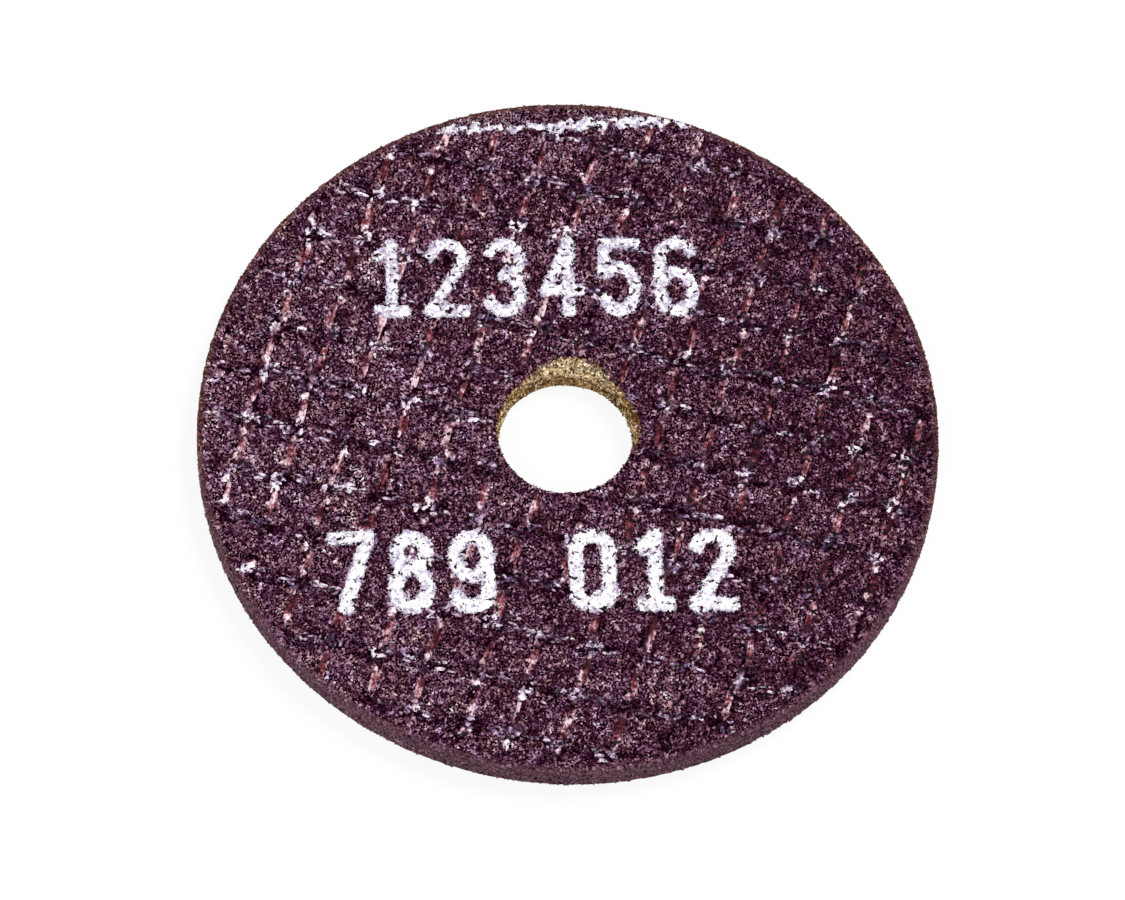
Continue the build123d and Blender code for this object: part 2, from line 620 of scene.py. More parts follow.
# How far the walls are pushed out from the axis, at first in millimetres
lobes = patches(bearing * radius, z, 1.7 * MM, 6)
push = np.where(on_rim, 0.1 * rough_wall - 0.065, 0)
push -= np.where(on_bore, 0.05 + 0.12 * lobes + 0.16 * np.cos(bearing), 0)
push *= MM
x, y = x * (1 + push / radius), y * (1 + push / radius)
print("bed between %.2f and %.2f mm deep" % (sunk[on_front].min() / MM, sunk[on_front].max() / MM))

# %% [markdown]
# The flat is a plane and the chip is a cone, and everything above them is cut down to them. How far
# each point stands inside them is kept too, because worn grain is paler and browner than pressed
# grain. The worn look starts a little before the chip's own edge, as if rubbed there.


# %% Worn places
FLAT_FADE, CHIP_FADE, CHIP_LEAD = 0.022 * MM, 0.32 * MM, 0.1 * MM


def flat_height(x, y):
    """The height of the rubbed flat's plane over a point."""
    past_edge = x * math.cos(flat_bearing) + y * math.sin(flat_bearing) - (rim_radius - flat_reach)
    return thickness - flat_drop / flat_reach * past_edge


def chip_height(x, y):
    """The height of the chipped bevel's cone over a point."""
    tip_x, tip_y = chip_off_axis * math.cos(chip_bearing), chip_off_axis * math.sin(chip_bearing)
    from_tip = np.hypot(x - tip_x, y - tip_y)
    return thickness - chip_depth / chip_reach * (chip_mouth_radius - from_tip)


on_upper = on_front | ((on_rim | on_bore) & (z > thickness / 2))
in_flat = np.clip((thickness - flat_height(x, y)) / FLAT_FADE, 0, 1) * on_upper
in_chip = np.clip((thickness + CHIP_LEAD - chip_height(x, y)) / CHIP_FADE, 0, 1) * on_upper
wear_rough = 0.09 * MM * (patches(x, y, 0.35 * MM, 4) + 0.3)
z = np.where(on_upper, np.minimum(z, flat_height(x, y) - 0.6 * wear_rough), z)
z = np.where(on_upper, np.minimum(z, chip_height(x, y) - wear_rough), z)
print("%d points are worn" % np.count_nonzero(in_flat + in_chip))

# %% [markdown]
# The mesh carries what the materials and the grains ask for later, one number a point:
#
# - `ink`, how deep the point lies in the print, up to a cap that is lower for the thin upper row
# - `ochre`, how much it shows the yellowish inside of the bond, as a cut or worn place does
# - `furrow`, how far it is down in the cloth's furrows
# - `worn`, how far it lies inside a worn place
# - a painted light slope, which paints the face lighter on the left side and darker on the right
# - `smooth`, how far handling has evened out its grains, as it has round the rim
# - `olive`, how far its colour turns to olive brown, as it does along the far edge
# - `grit_...`, how densely each batch of grains covers it

# %% Where the bond shows its ochre
INK_CAPS = (0.22, 0.34)

ink = np.where(on_front, np.maximum(ink_depth(x, y), scrape_depth(x, y)), NO_INK)
ink = np.minimum(ink, np.where(y > 0, *INK_CAPS))
far_side = np.clip(0.9 + 1.6 * np.sin(bearing), 0, 1)
in_bore = on_bore * np.where(z > thickness - 0.3 * MM, far_side, 1)
bore_fringe = np.clip(1 - (radius - bore_radius) / (0.36 * MM), 0, 1)
rim_fringe = np.clip((radius - rim_radius + 0.5 * MM) / (0.3 * MM), 0, 1)
rim_foot = on_rim * np.clip(1 - z / (0.35 * MM), 0, 1)
ochre = [in_bore, in_chip, 0.8 * bore_fringe * far_side, 0.5 * rim_foot, 0.2 * in_flat]
ochre = np.clip(np.maximum.reduce(ochre), 0, 1)
print("%d points lie in ink, %d show ochre" % (np.count_nonzero(ink > 0), np.count_nonzero(ochre)))

# %% [markdown]
# Few grains lie on bare yarn. The warp is bare along its middle, between two wefts. Beside the
# weft, grains are left out in patches, mostly near the crossings, along a line that wanders a
# little, so that the near-black bond shows there as painted shadow.

# %% Where the grains are thin
not_worn = (1 - in_flat) * (1 - in_chip)
near_crossing = np.exp(-((from_warp / (0.9 * MM)) ** 2))
# Painted shadow beside the weft: grains are left out there, so the dark bond shows
weft_shadow_patch = np.clip(4 * patches(cloth_x, cloth_y, 0.5 * MM, 5) - 2.8 + 1.3 * near_crossing, 0, 1)
wander = 0.5 * MM * (patches(cloth_x, cloth_y, 0.9 * MM, 7) - 0.5)
bare_warp = 0.85 * (np.abs(from_warp) < 0.16 * MM) * (np.abs(from_weft) > 0.8 * MM)
weft_shadow_gap = weft_shadow_patch * (np.abs(from_weft + 0.1 * MM + wander) < 0.4 * MM)
cover = np.clip(1 - np.maximum(bare_warp, weft_shadow_gap) * cloth_zone(radius) * not_worn, 0.01, 1)
print("%.0f %% of the points are thinly covered" % (100 * np.mean(cover < 0.5)))

# %% [markdown]
# Now the net becomes a mesh that carries those numbers. The volume inside it tells whether its
# faces point outwards: if they don't, it comes out negative, and they are turned round.

# %% The skin's mesh
values = {
    "ink": ink,
    "ochre": ochre,
    "furrow": furrow * not_worn,
    "worn": np.maximum(in_flat, in_chip),
    # painted light: the face is lighter towards the left and darker towards the right
    "dusty": 0.5 - 0.5 * x / rim_radius,
    "smooth": np.maximum(0.65 * on_rim, 0.4 * (radius > rim_radius - 0.4 * MM)),
    "olive": far_side * (z > thickness / 2) * rim_fringe,
    "grit_front_left": cover * (on_front & (x <= 0)),
    "grit_front_right": cover * (on_front & (x > 0)),
    "grit_back": cover * on_back,
    "grit_wall": 1.0 * (on_rim | on_bore),
}

skin = plain_mesh("wheel_bond", np.column_stack([x, y, z]).tolist(), triangles.tolist())
for name, value in values.items():
    carried = skin.data.attributes.new(name, "FLOAT", "POINT")
    carried.data.foreach_set("value", value.astype(np.float32))


def enclosed_volume(mesh):
    """The volume inside a closed mesh, negative if its faces point inwards."""
    mesh.calc_loop_triangles()
    corners = np.array([point.co[:] for point in mesh.vertices])
    faces = np.array([face.vertices[:] for face in mesh.loop_triangles])
    a, b, c = (corners[faces[:, k]] for k in range(3))
    return float((a * np.cross(b, c)).sum() / 6)


if enclosed_volume(skin.data) < 0:
    skin.data.flip_normals()
print("skin holds %.2f cubic centimetres" % (enclosed_volume(skin.data) * 1e6))

# %% [markdown]
# ## Finishes
# The wheel has one dark colour from a step away. Close up it is many: nearly black pits, darkened
# further by painted shade, plum and brown grains, a few pale ones that are painted glints, and an
# ochre bond wherever the wheel is cut or worn. White ink lies on top. The colours are written as a
# paint card gives them, so that they can be held against the real thing.


# %% Colours of the bond and the grain
def paint(red, green, blue):
    """A colour as a paint card gives it, 0 to 255, in the linear values that nodes take."""
    card = np.array([red, green, blue]) / 255
    linear = np.where(card <= 0.04045, card / 12.92, ((card + 0.055) / 1.055) ** 2.4)
    return (*linear.tolist(), 1.0)


def card_stops(*rows):
    """Stops for a colour ramp, from rows of place, red, green and blue."""
    return [(place, paint(*card)) for place, *card in rows]


# The third colour darkens grains low down among the others: partly resin film, partly painted shade
PIT, PIT_EDGE, RESIN_AND_SHADE = paint(14, 0, 8), paint(72, 34, 54), paint(33, 5, 20)
HANDLED_DARK, HANDLED_PALE = paint(46, 26, 32), paint(124, 92, 102)
OCHRE_DARK, OCHRE, OCHRE_PALE = paint(76, 48, 16), paint(186, 148, 90), paint(252, 234, 196)
OCHRE_STOPS = [(0.0, OCHRE_DARK), (0.2, OCHRE), (0.5, OCHRE_PALE)]
# The second ink colour is painted grey shade in the print
INK, INK_PAINTED_SHADE = paint(255, 253, 255), paint(186, 176, 200)
# The palest stops are painted glints; the rest are the grains' own colours
GRAIN_AND_GLINT_STOPS = card_stops(
    (0.0, 30, 4, 18), (0.15, 65, 18, 42), (0.3, 103, 54, 79), (0.5, 137, 93, 116),
    (0.66, 172, 133, 154), (0.82, 209, 177, 194), (0.92, 244, 218, 234), (1.0, 255, 250, 255),
)

# These three are multiplied over another colour, to shift it
BLUISH, BROWNISH, OLIVE = (0.94, 0.94, 1.12, 1), (1.03, 1.0, 0.84, 1), (0.78, 0.68, 0.42, 1)
print("%d stops from the darkest grain to the palest" % len(GRAIN_AND_GLINT_STOPS))

# %% [markdown]
# One function lays the ink on the skin, the grains and the yarns alike, because a print that
# stopped at the edge of a grain would look pasted on. The ink's wear is noise that is added to its
# depth before the edge is cut: fine noise makes the edge ragged, and coarser noise cracks it.


# %% Finish, ink and stain
def finish(material, colour, roughness, gloss):
    """Gives the Principled shader its colour, and a roughness and gloss that are the same all over."""
    shader = material.node_tree.nodes["Principled BSDF"]
    material.node_tree.links.new(colour.socket, shader.inputs["Base Color"])
    shader.inputs["Roughness"].default_value = roughness
    shader.inputs["Specular IOR Level"].default_value = gloss
    print("%s: %d nodes" % (material.name, len(material.node_tree.nodes)))
    return material


def lay_ink(board, where, colour, edge=0.0):
    """Lays the worn print over a colour, with a ragged edge, cracks and painted grey shade."""
    ragged, cracks = board.noise(where, 5000, 2) - 0.5, board.noise(where, 2600, 4)
    ink = board.attribute("ink")
    depth = ink - edge + ragged * 0.42 - cracks.ramp(0.53, 0.68) * 0.5
    # Painted shade in the ink: grey patches, more of them towards the edges of strokes
    shade_patches = board.noise(where, 2300, 2) + ragged * 1.0 + (0.3 - ink) * 0.6
    painted_shading = board.blend(shade_patches.ramp(0.43, 0.76), INK, INK_PAINTED_SHADE)
    return board.blend(depth.ramp(-0.03, 0.04), colour, painted_shading)


def stain(board, where, colour):
    """Shifts a colour towards blue in some patches and towards brown in others."""
    hue = board.noise(where, 800, 2)
    return board.tint(hue.ramp(0.5, 0.34), board.tint(hue.ramp(0.5, 0.66), colour, BLUISH), BROWNISH)


# %% [markdown]
# The bond is what shows between the grains: almost black, because little light gets down there,
# with a thin film of ink where the print was pressed hard. Where it is cut, its inside is ochre in
# thin layers that lie as the wheel does, so their noise is stretched along the faces.


# %% Bond material
LAYERS = (0.16, 0.16, 1.0)


def bond_material():
    """The resin bed: dark between the grains, and ochre and layered where it is cut."""
    material, board = new_material("dark bond")
    where = board.object_place()
    fine, broad = board.noise(where, 5200, 2), board.noise(where, 420, 2)
    dark = board.blend(fine.ramp(0.45, 0.75), PIT, PIT_EDGE)
    even = board.blend(fine.ramp(0.35, 0.65), HANDLED_DARK, HANDLED_PALE)
    dark = board.blend(board.attribute("smooth") * 1.3, dark, even)
    dark = board.tint(board.attribute("olive"), dark, OLIVE)
    stretched = {0: where, 1: LAYERS}
    layers = board.put("ShaderNodeVectorMath", {"operation": "MULTIPLY"}, stretched)[0]
    layer = board.noise(layers, 2600, 3) * 0.7 + fine * 0.3
    cut = board.blend(layer.ramp(0.4, 0.56), OCHRE_DARK, OCHRE)
    cut = board.blend(board.attribute("worn") * 0.3, cut, OCHRE_PALE)
    cut = board.blend(board.noise(where, 5600, 1).ramp(0.52, 0.6), cut, OCHRE_DARK)
    inside = board.attribute("ochre") + (fine - 0.5) * 1.2 + (broad - 0.5) * 0.5
    colour = board.blend(inside.ramp(0.35, 0.7), dark, cut)
    return finish(material, lay_ink(board, where, colour, edge=0.08), 0.8, 0.0)


# %% [markdown]
# Every grain has a `tone`, and every flat face of it a random number too, both given by the scatter.
# The face's number is painted light: it stands in for how a face catches the lamps. Most grains are
# dull, and the last few in a hundred are pale: painted glints. `deep` is how far a point lies below
# the wheel's true surface, in tenths of a millimetre: down there the colour is darkened, partly as a
# resin film and partly as painted shade among the grains, which draws a dark line round each one.
# The sums add up where a grain lies on the ramp of colours: its own two numbers, noise of four sizes,
# each about its middle, and then what the place on the wheel does to it, with painted shade in the
# furrows and a painted light slope across the face.


# %% Grain material
HANDLED_SHADE = 0.33


def grain_material():
    """Fused grain: plum and brown, with pale glints, and ochre where the wheel is worn."""
    material, board = new_material("brown grain")
    where = board.object_place()
    tone, facet = board.attribute("tone"), board.attribute("facet")
    worn, smooth = board.attribute("worn"), board.attribute("smooth")
    fine, speck = board.noise(where, 6000, 2), board.noise(where, 3300, 1)
    clump, broad = board.noise(where, 1500, 2), board.noise(where, 300, 3)
    # Painted light: each face's own random number stands in for how it catches the lamps
    shade = tone * 0.5 + facet * 0.1 + 0.14 + (fine - 0.5) * 0.1 + (speck - 0.5) * 0.74
    shade = shade + (clump - 0.5) * 1.0 + (broad - 0.5) * 0.6
    # Painted shade: grains in the furrows are darker, and the painted light slope lightens the left
    shade = shade - board.attribute("furrow") * 0.06 + (board.attribute("dusty") - 0.5) * 0.17
    shade = shade + worn * 0.14
    shade = shade + (HANDLED_SHADE - shade) * smooth * 0.8
    brown = stain(board, where, board.colours(GRAIN_AND_GLINT_STOPS, shade))
    brown = board.tint(board.attribute("olive"), brown, OLIVE)
    cut = board.colours(OCHRE_STOPS, shade)
    cut = board.blend((fine * 0.6 + tone * 0.4).ramp(0.515, 0.6), cut, OCHRE_DARK)
    inside = board.attribute("ochre") + (tone - 0.5) * 0.9
    colour = board.blend(inside.ramp(0.35, 0.7), brown, cut)
    # Painted shade and resin film: points deep among the grains are darkened
    painted_shading = (board.attribute("deep") + (fine - 0.5) * 0.8).ramp(1.0, 1.8) * (1 - worn)
    colour = board.blend(painted_shading * (1 - smooth * 0.8), colour, RESIN_AND_SHADE)
    return finish(material, lay_ink(board, where, colour), 0.4, 0.2)


bond, grain_finish = bond_material(), grain_material()
skin.data.materials.append(bond)

# %% [markdown]
# ## The grains
# A grain of fused oxide is a splinter with a few flat faces. Bump alone would be cheaper, but it
# leaves the wheel's outline smooth. Six random points and the skin that is stretched over them
# make a splinter, with eight triangles at most. Six different ones, turned and scaled at random,
# are enough: nobody finds the copies among tens of thousands.


# %% Six splinters
SPLINTERS = 6


def splinter(number):
    """One angular grain about one unit in radius, kept out of the scene."""
    draw = np.random.default_rng(100 + number)
    corners = np.array([(1, 0, 0), (-1, 0, 0), (0, 1, 0), (0, -1, 0), (0, 0, 1), (0, 0, -1)])
    directions = corners + draw.normal(size=(6, 3)) * 0.3
    directions /= np.linalg.norm(directions, axis=1)[:, None]
    shape = bmesh.new()
    for point in directions * draw.uniform(0.9, 1.25, (6, 1)) * (1.15, 1.0, 0.85):
        shape.verts.new(point)
    bmesh.ops.convex_hull(shape, input=shape.verts[:])
    bmesh.ops.triangulate(shape, faces=shape.faces[:])
    mesh = bpy.data.meshes.new("splinter_%d" % number)
    shape.to_mesh(mesh)
    shape.free()
    return bpy.data.objects.new(mesh.name, mesh)


splinters = bpy.data.collections.new("splinters")
for number in range(SPLINTERS):
    splinters.objects.link(splinter(number))

# %% [markdown]
# Two trees of Geometry Nodes will put copies on the wheel: one scatters the grains, the other lays
# the yarns. What both need comes first. A tree starts from some geometry and has named inputs, and
# it draws random numbers and keeps some of them for the materials.


# %% Trees and their numbers
def new_tree(title, start, result, kinds):
    """A new tree's board and its inputs: the geometry that it starts from and the named ones."""
    tree = bpy.data.node_groups.new(title, "GeometryNodeTree")
    tree.interface.new_socket(start, in_out="INPUT", socket_type="NodeSocketGeometry")
    for kind, names in kinds.items():
        for name in names:
            tree.interface.new_socket(name, in_out="INPUT", socket_type="NodeSocket" + kind)
    tree.interface.new_socket(result, in_out="OUTPUT", socket_type="NodeSocketGeometry")
    board = Board(tree)
    return board, board.put("NodeGroupInput")


def random_value(board, lowest, highest, seed, kind="FLOAT"):
    """A seeded random number or vector for each point."""
    first, last, result = {"FLOAT": (2, 3, 1), "FLOAT_VECTOR": (0, 1, 0)}[kind]
    inputs = {first: lowest, last: highest, "Seed": seed}
    return board.put("FunctionNodeRandomValue", {"data_type": kind}, inputs)[result]


def keep_value(board, geometry, name, domain, value):
    """Stores a number on the geometry under a name that materials can read."""
    settings = {"data_type": "FLOAT", "domain": domain}
    inputs = {"Geometry": geometry, "Name": name, "Value": value}
    return board.put("GeometryNodeStoreNamedAttribute", settings, inputs)[0]


def read_value(board, name):
    """A number that the geometry carries."""
    return board.put("GeometryNodeInputNamedAttribute", {"data_type": "FLOAT"}, {"Name": name})[0]


# %% [markdown]
# Both trees stand copies on points, give each copy a random tone and make one mesh of them. Then
# they push back whatever sticks out of the wheel's true size, as the mould's plates did, and set
# the finish.


# %% Copies, and pressing them in
def own_place(board):
    """The X, Y and Z of each point."""
    return board.put("ShaderNodeSeparateXYZ", {}, {0: board.put("GeometryNodeInputPosition")[0]})


def from_axis(place):
    """The distance of a place from the wheel's axis."""
    return (place["X"] * place["X"] + place["Y"] * place["Y"]) ** 0.5


def vector(board, *parts):
    """A vector from its three parts."""
    return board.put("ShaderNodeCombineXYZ", {}, dict(enumerate(parts)))[0]


def move(board, geometry, **target):
    """Moves each point to its Position, or by its Offset."""
    return board.put("GeometryNodeSetPosition", {}, {"Geometry": geometry, **target})[0]


def stand_copies(board, tone_seed, inputs):
    """Stands a copy on each point, gives each its tone and makes one mesh of them all."""
    copies = board.put("GeometryNodeInstanceOnPoints", {}, inputs)[0]
    tone = random_value(board, 0.0, 1.0, tone_seed)
    toned = keep_value(board, copies, "tone", "INSTANCE", tone)
    return board.put("GeometryNodeRealizeInstances", {}, {0: toned})[0]


def press(board, geometry, given):
    """Pushes back whatever sticks out of the wheel's faces or rim."""
    place = own_place(board)
    pull = (given["Reach"] / from_axis(place)).least(1.0)
    height = place["Z"].most(0.0).least(given["Top"])
    return move(board, geometry, Position=vector(board, place["X"] * pull, place["Y"] * pull, height))


def end_tree(board, geometry, given):
    """Sets the finish and ends the tree."""
    inputs = {"Geometry": geometry, "Material": given["Finish"]}
    board.put("NodeGroupOutput", {}, {0: board.put("GeometryNodeSetMaterial", {}, inputs)[0]})
    return board.tree


# %% [markdown]
# The first tree drops points on the skin no nearer to each other than the spacing, thinned out by
# one of the `grit_...` attributes, sinks each a little, and stands a splinter there. It offers more
# points than there is room for, and the spacing decides which of them stay.


# %% The scatter tree
CROWDING = 2.6
WHOLE_TURNS = (math.tau, math.tau, math.tau)
SCATTER_INPUTS = {
    "String": ["Where"],
    "Float": ["Spacing", "Size", "Size spread", "Sink", "Top", "Reach", "Bore"],
    "Int": ["Seed"],
    "Collection": ["Grains"],
    "Material": ["Finish"],
}


def scatter_tree():
    """Splinters scattered over a surface."""
    board, given = new_tree("scatter grains", "Surface", "Grains", SCATTER_INPUTS)
    spacing, spread, seed = given["Spacing"], given["Size spread"], given["Seed"]
    drop = board.put("GeometryNodeDistributePointsOnFaces", {"distribute_method": "POISSON"}, {
        "Mesh": given["Surface"],
        "Distance Min": spacing,
        "Density Max": CROWDING / (spacing * spacing),
        "Density Factor": read_value(board, given["Where"]),
        "Seed": seed,
    })
    sink = {0: drop["Normal"], "Scale": given["Sink"] * random_value(board, -1.7, -0.3, seed + 5)}
    down = board.put("ShaderNodeVectorMath", {"operation": "SCALE"}, sink)[0]
    kinds = {0: given["Grains"], "Separate Children": True, "Reset Children": True}
    solid = stand_copies(board, seed + 4, {
        "Points": move(board, drop["Points"], Offset=down),
        "Instance": board.put("GeometryNodeCollectionInfo", {}, kinds)[0],
        "Pick Instance": True,
        "Instance Index": random_value(board, 0.0, SPLINTERS - 0.001, seed + 3).whole(),
        "Rotation": random_value(board, (0, 0, 0), WHOLE_TURNS, seed + 1, "FLOAT_VECTOR"),
        "Scale": given["Size"] * random_value(board, 1 - spread, 1 + spread, seed + 2),
    })
    # Each face gets a random painted light, for how it catches the lamps
    faceted = keep_value(board, solid, "facet", "FACE", random_value(board, 0.0, 1.0, seed + 6))
    place = own_place(board)
    out = from_axis(place)
    deep = (given["Top"] - place["Z"]).least(place["Z"])
    deep = deep.least(given["Reach"] - out).least(out - given["Bore"])
    marked = keep_value(board, press(board, faceted, given), "deep", "POINT", deep / (0.1 * MM))
    return end_tree(board, marked, given)


# %% [markdown]
# A modifier's inputs are known by their identifiers, which the tree hands out. The result of the
# modifier is then kept as a plain mesh and the modifier is gone.


# %% Growing a piece with a tree
def grow(name, start, tree, **inputs):
    """A new plain mesh: the tree's result on the start object's mesh."""
    piece = in_scene(name, start.data)
    modifier = piece.modifiers.new("grow", "NODES")
    modifier.node_group = tree
    sockets = [item for item in tree.interface.items_tree if item.in_out == "INPUT"]
    identifiers = {socket.name: socket.identifier for socket in sockets}
    for label, value in inputs.items():
        modifier[identifiers[label.replace("_", " ")]] = value
    bpy.context.view_layer.update()
    grown = piece.evaluated_get(bpy.context.evaluated_depsgraph_get())
    mesh = bpy.data.meshes.new_from_object(grown)
    piece.modifiers.remove(modifier)
    mesh.name = name
    piece.data = mesh
    print("%s: %d triangles" % (name, sum(len(face.vertices) - 2 for face in mesh.polygons)))
    return piece


# %% [markdown]
# The grains come in four batches, so that no piece is too heavy: the front's two halves, the back
# and the walls. The back isn't seen from the camera, so its grains are larger and fewer.

# %% Four batches of grains
# Each batch: its name, the attribute that says where it lies, its spacing and size in
# millimetres, and its seed
BATCHES = (
    ("grains_front_left", "grit_front_left", 0.155, 0.13, 11),
    ("grains_front_right", "grit_front_right", 0.155, 0.13, 21),
    ("grains_back", "grit_back", 0.33, 0.19, 31),
    ("grains_wall", "grit_wall", 0.2, 0.12, 41),
)

scatter = scatter_tree()
grains = [
    grow(
        name, skin, scatter, Where=where, Spacing=spacing * MM, Size=size * MM, Size_spread=0.42,
        Sink=0.03 * MM, Top=thickness, Reach=rim_radius, Bore=bore_radius, Seed=seed, Grains=splinters,
        Finish=grain_finish,
    )
    for name, where, spacing, size, seed in BATCHES
]

# %% [markdown]
# ## The yarns
# Between the furrows' walls the glass cloth lies bare in places. Each warp yarn comes up between
# two weft yarns and shows a short brown dash of a few fibre bundles. The weft shows less, as pale
# broken strands. Where the two cross there are pale knots, and on the warp beside each crossing a
# few pinkish beads of crushed fibre. Whole yarns could be modelled as long curves, but grain and
# resin would hide most of them. So the cloth is laid as short bits in groups on its own lattice:
# blunt strands for warp and weft, and crumbs for the rest.

# %% Spots on the cloth's lattice
SPOT_JITTER, SPOT_SHARE = 0.16 * MM, 0.92
SPOT_RIM_GAP, SPOT_BORE_GAP = 0.2 * MM, 0.5 * MM


def cloth_spots(warp_shift, weft_shift, on_back, seed):
    """Places on the lattice of crossings, shifted by a share of each pitch; some are left out."""
    draw = np.random.default_rng(seed)
    reach = int(rim_radius / min(warp_pitch, weft_pitch)) + 3
    lattice = [(i, j) for i in range(-reach, reach + 1) for j in range(-reach, reach + 1)]
    warp_side = np.array((-math.sin(warp_heading), math.cos(warp_heading)))
    weft_side = np.array((-math.sin(weft_heading), math.cos(weft_heading)))
    lines = np.linalg.inv(np.array((warp_side, weft_side)))
    offsets = np.array([
        (warp_offset + (i + warp_shift) * warp_pitch, weft_offset + (j + weft_shift) * weft_pitch)
        for i, j in lattice
    ])
    x, y = lines @ offsets.T + draw.normal(size=(2, len(lattice))) * SPOT_JITTER
    kept = draw.random(len(lattice)) < SPOT_SHARE
    x, y = in_cloth(x, y, on_back)
    radius = np.hypot(x, y)
    kept &= (radius < cloth_rim - SPOT_RIM_GAP) & (radius > cloth_bore + SPOT_BORE_GAP)
    if not on_back:
        kept &= (flat_height(x, y) > thickness) & (chip_height(x, y) > thickness)
    return x[kept], y[kept]


# %% [markdown]
# A strand is a short bundle of fibres: four-sided, blunt at both ends, and bowed up in the middle,
# because its ends dive under the next yarn. One end is frayed, and its `frayed` number tells the
# material so. A crumb is one more splinter.


# %% Strand and crumb
def blunt_strand():
    """A bowed strand along X, one unit long and one wide, kept out of the scene."""
    rings = ((-0.43, 0.8), (-0.15, 1.0), (0.16, 0.95), (0.42, 0.75))
    points = [(-0.5, 0, -0.3)]
    for along, width in rings:
        half, ridge = width / 2, 0.3 - 1.2 * along**2
        side, keel = ridge - 0.3, ridge - 0.9
        points += [(along, -half, side), (along, 0, keel), (along, half, side), (along, 0, ridge)]
    points.append((0.5, 0, -0.3))
    last, tip = len(points) - 5, len(points) - 1
    faces = [(0, 1 + (k + 1) % 4, 1 + k) for k in range(4)]
    for first in range(1, last, 4):
        after = first + 4
        faces += [(first + k, first + (k + 1) % 4, after + (k + 1) % 4, after + k) for k in range(4)]
    faces += [(last + k, last + (k + 1) % 4, tip) for k in range(4)]
    mesh = bpy.data.meshes.new("strand")
    mesh.from_pydata(points, [], faces)
    frayed = [min(max(0.4 - 1.6 * point[0], 0), 1) for point in points]
    mesh.attributes.new("frayed", "FLOAT", "POINT").data.foreach_set("value", frayed)
    if enclosed_volume(mesh) < 0:
        mesh.flip_normals()
    return bpy.data.objects.new("strand", mesh)


strand, crumb = blunt_strand(), splinter(SPLINTERS)
print("strand of %d faces, crumb of %d" % (len(strand.data.polygons), len(crumb.data.polygons)))

# %% [markdown]
# The second tree copies each spot once for every strand, moves the copies apart, drops some, and
# stands a strand or a crumb on each of the rest. The print has to run on across them, so each of
# their points asks the skin for the ink that lies nearest to it.


# %% The laying tree
STRAND_INPUTS = {
    "Int": ["Strands", "Seed"],
    "Float": [
        "Share", "Turn", "Turn spread", "Flip", "Length", "Width", "Height", "Across", "Along",
        "Top", "Reach",
    ],
    "Object": ["Strand", "Skin"],
    "Material": ["Finish"],
}


def strand_tree():
    """Groups of strands or crumbs laid on given spots."""
    board, given = new_tree("lay strands", "Spots", "Strands", STRAND_INPUTS)
    seed = given["Seed"]
    spots = board.put("GeometryNodeMeshToPoints", {}, {"Mesh": given["Spots"]})[0]
    amount = {"Geometry": spots, "Amount": given["Strands"]}
    copies = board.put("GeometryNodeDuplicateElements", {"domain": "POINT"}, amount)
    place_in_row = (copies["Duplicate Index"] + 0.5) / given["Strands"] - 0.5
    across = given["Across"] * (place_in_row + random_value(board, -0.15, 0.15, seed))
    along = given["Along"] * random_value(board, -0.5, 0.5, seed + 1)
    apart = {"Vector": vector(board, along, across, 0.0), "Angle": given["Turn"]}
    offset = board.put("ShaderNodeVectorRotate", {"rotation_type": "Z_AXIS"}, apart)[0]
    chance = {"Probability": given["Share"], "Seed": seed + 6}
    shape = {"Object": given["Strand"], "As Instance": True}
    yaw = given["Turn"] + given["Turn spread"] * random_value(board, -1.0, 1.0, seed + 2)
    length = given["Length"] * random_value(board, 0.65, 1.2, seed + 3)
    width = given["Width"] * random_value(board, 0.6, 1.3, seed + 4)
    height = given["Height"] * random_value(board, 0.7, 1.1, seed + 5)
    solid = stand_copies(board, seed + 7, {
        "Points": move(board, copies["Geometry"], Offset=offset),
        "Selection": board.put("FunctionNodeRandomValue", {"data_type": "BOOLEAN"}, chance)[3],
        "Instance": board.put("GeometryNodeObjectInfo", {}, shape)["Geometry"],
        "Rotation": vector(board, given["Flip"], 0.0, yaw),
        "Scale": vector(board, length, width, height),
    })
    skin_mesh = board.put("GeometryNodeObjectInfo", {}, {"Object": given["Skin"]})["Geometry"]
    ask = {"Mesh": skin_mesh, "Value": read_value(board, "ink")}
    nearest = board.put("GeometryNodeSampleNearestSurface", {"data_type": "FLOAT"}, ask)[0]
    inked = keep_value(board, solid, "ink", "POINT", nearest)
    return end_tree(board, press(board, inked, given), given)


# %% [markdown]
# Glass fibre is clear; here resin and brown dust have stained it. The warp is reddish brown, the
# weft and the knots are a pale lilac, and the beads are pinkish, and the top stop of each ramp is a
# painted highlight. Along each strand the stain changes, and in places dark resin covers it. The
# fibres are painted darker towards the right, as painted shade: the slope runs from -1 at the left
# of the rim to 1.


# %% Yarn materials
def fibre_material(name, stops, brightness, resin):
    """A stained fibre; more resin leaves less of it bare."""
    material, board = new_material(name)
    where = board.object_place()
    fine, broad, wide = (board.noise(where, *size) for size in ((5000, 2), (1500, 2), (420, 1)))
    # Painted shade slope: the fibres are painted darker and more covered towards the right
    right_side_shade = board.put("ShaderNodeSeparateXYZ", {}, {0: where})["X"] / rim_radius
    shade = board.attribute("tone") * 0.5 + (fine - 0.5) * 1.6 + (broad - 0.5) * 2.4
    shade = shade + (wide - 0.5) * 2.0 + brightness
    shade = shade + board.attribute("frayed") * 0.2 - right_side_shade * 0.12
    colour = board.colours(card_stops(*stops), shade)
    film = board.noise(where, 2600, 2) + resin + right_side_shade * 0.04
    colour = board.blend(film.ramp(0.48, 0.6), colour, PIT)
    return finish(material, lay_ink(board, where, colour), 0.35, 0.3)


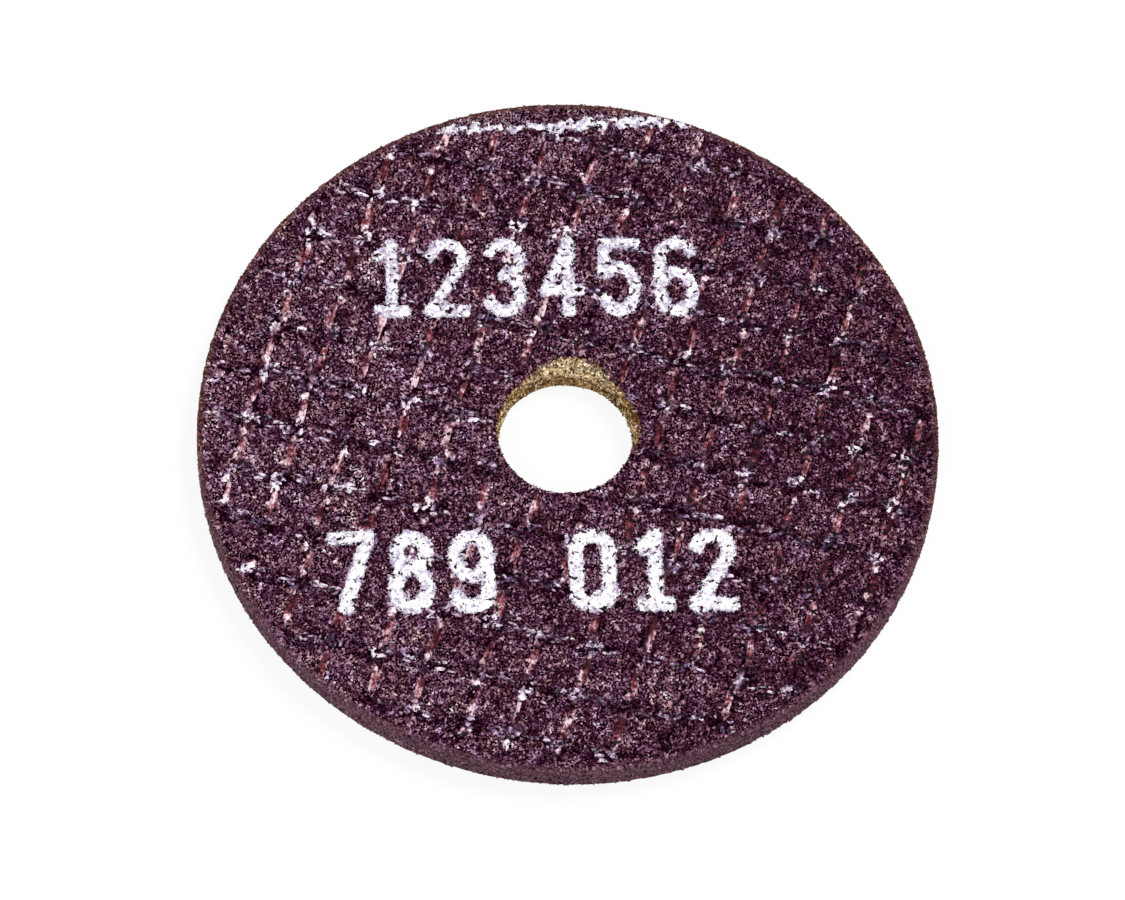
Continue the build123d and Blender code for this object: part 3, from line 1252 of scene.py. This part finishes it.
# The top stop of each ramp is a painted highlight on the fibres
WARP_STOPS = ((0.0, 60, 6, 24), (0.28, 120, 48, 58), (0.6, 166, 104, 114), (1.0, 238, 208, 218))
WEFT_STOPS = ((0.0, 54, 28, 62), (0.32, 116, 86, 124), (0.62, 188, 160, 190), (1.0, 254, 244, 255))
BEAD_STOPS = ((0.0, 64, 26, 48), (0.32, 138, 88, 106), (0.62, 206, 168, 180), (1.0, 255, 242, 246))
warp_finish = fibre_material("stained warp yarn", WARP_STOPS, 0.1, -0.03)
weft_finish = fibre_material("pale weft yarn", WEFT_STOPS, 0.24, 0.0)
bead_finish = fibre_material("pinkish beads", BEAD_STOPS, 0.16, 0.0)

# %% [markdown]
# Each group of yarns is a row of the table below: its name, finish and shape, its shift on the
# lattice, how many strands it has and what share of them stays, their heading and its spread, their
# length, width and height, and how far they lie apart across and along, all in millimetres.

# %% The table of yarns
BEADS = ((5, 0.66), (warp_heading, 0.5), (0.34, 0.24, 0.2), (0.3, 0.55))
YARN_ROWS = (
    ("warp", warp_finish, strand, (0, 0.46), (6, 0.84), (warp_heading, 0.13),
     (1.7, 0.22, 0.32), (0.38, 0.9)),
    ("weft", weft_finish, strand, (0.5, 0), (8, 0.34), (weft_heading, 0.25),
     (0.8, 0.2, 0.28), (0.7, 2.2)),
    ("knots", weft_finish, crumb, (0, 0), (11, 0.68), (0.2, 1.2), (0.3, 0.18, 0.18), (0.9, 1.4)),
    ("upper_beads", bead_finish, crumb, (0, 0.2), *BEADS),
    ("lower_beads", bead_finish, crumb, (0, 0.76), *BEADS),
)
print("%d groups on each face" % len(YARN_ROWS))

# %% [markdown]
# The back's cloth is laid with the same rows, turned over, with fewer strands, because nothing is
# seen of it from the front.


# %% Laying the yarns
BACK_STRANDS = 3
YARN_LEVEL = 0.09 * MM


def lay_yarns(face, row, seed):
    """One group of yarns on the front or the back."""
    name, finish_of_yarn, shape, shift, (strands, share), (heading, spread) = row[:6]
    (length, width, height), (across, along) = row[6:]
    on_back = face == "back"
    level = YARN_LEVEL if on_back else thickness - YARN_LEVEL
    x, y = cloth_spots(*shift, on_back, seed)
    places = [(a, b, level) for a, b in zip(x.tolist(), y.tolist())]
    spots = plain_mesh("%s_%s_spots" % (face, name), places, [])
    piece = grow(
        "%s_%s" % (face, name), spots, lay, Strands=BACK_STRANDS if on_back else strands, Share=share,
        Turn=-(heading + back_cloth_turn) if on_back else heading, Turn_spread=spread,
        Flip=math.pi if on_back else 0.0, Length=length * MM, Width=width * MM, Height=height * MM,
        Across=across * MM, Along=along * MM, Top=thickness, Reach=rim_radius, Seed=seed,
        Strand=shape, Skin=skin, Finish=finish_of_yarn,
    )
    bpy.data.objects.remove(spots)
    return piece


lay = strand_tree()
yarns = [
    lay_yarns(face, row, first_seed + 100 * number)
    for face, first_seed in (("front", 50), ("back", 1050))
    for number, row in enumerate(YARN_ROWS)
]

# %% [markdown]
# ## Riding
# The wheel is one rigid body, so every piece rides on it. The skin stands for the frame's plain
# solid, which is hidden from here on.

# %% Riding
for piece in [skin] + grains + yarns:
    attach(piece, "root")
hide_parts("abrasive_wheel")
